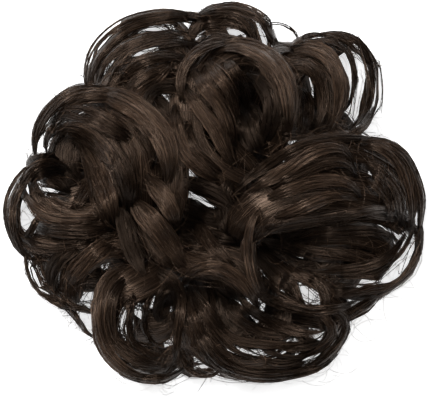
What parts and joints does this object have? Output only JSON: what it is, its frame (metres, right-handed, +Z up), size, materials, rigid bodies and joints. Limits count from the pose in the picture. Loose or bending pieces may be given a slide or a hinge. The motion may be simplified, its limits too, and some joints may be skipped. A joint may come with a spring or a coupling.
{
  "type": "top knot hairpiece",
  "caption": "Curled dark hairpiece for a top knot: locks of fibre looped round an elastic band that slips over a bun.",
  "frame": {"origin": "on the table, under the middle of the box round all the curls", "axes": "+Z up through the curls and along the band's axis, +X to the right and +Y away as seen from above"},
  "size_m": [0.1592, 0.1438, 0.0461],
  "materials": {
    "hair": "glossy fibre",
    "band": "matte knitted elastic"
  },
  "bodies": {
    "root": {"elastic_band": "band", "hair_base": "hair", "curl_crown_ring": "hair", "curl_crown_left": "hair", "curl_crown_wall": "hair", "curl_upper_left_fan": "hair", "curl_upper_left": "hair", "curl_middle_left": "hair", "curl_inner_left": "hair", "curl_inner_lower_left": "hair", "curl_inner_bottom": "hair", "curl_centre_bottom": "hair", "curl_inner_right": "hair", "curl_centre_right": "hair", "curl_right_high": "hair", "curl_right_middle": "hair", "curl_right_low": "hair", "curl_right_low_inner": "hair", "curl_right_inner": "hair", "curl_lower_right": "hair", "curl_bottom": "hair", "curl_bottom_small": "hair", "curl_bottom_left": "hair", "curl_lower_left_inner": "hair", "curl_lower_left": "hair", "curl_left_inner": "hair", "curl_left": "hair", "curl_top_left": "hair", "curl_top_left_middle": "hair", "curl_top_left_low": "hair", "curl_top": "hair", "curl_top_inner": "hair", "curl_top_right": "hair", "curl_top_right_inner": "hair", "curl_under_1": "hair", "curl_under_2": "hair", "curl_under_3": "hair", "curl_under_4": "hair", "curl_under_5": "hair", "curl_under_6": "hair", "curl_under_7": "hair", "curl_under_8": "hair"}
  },
  "joints": []
}
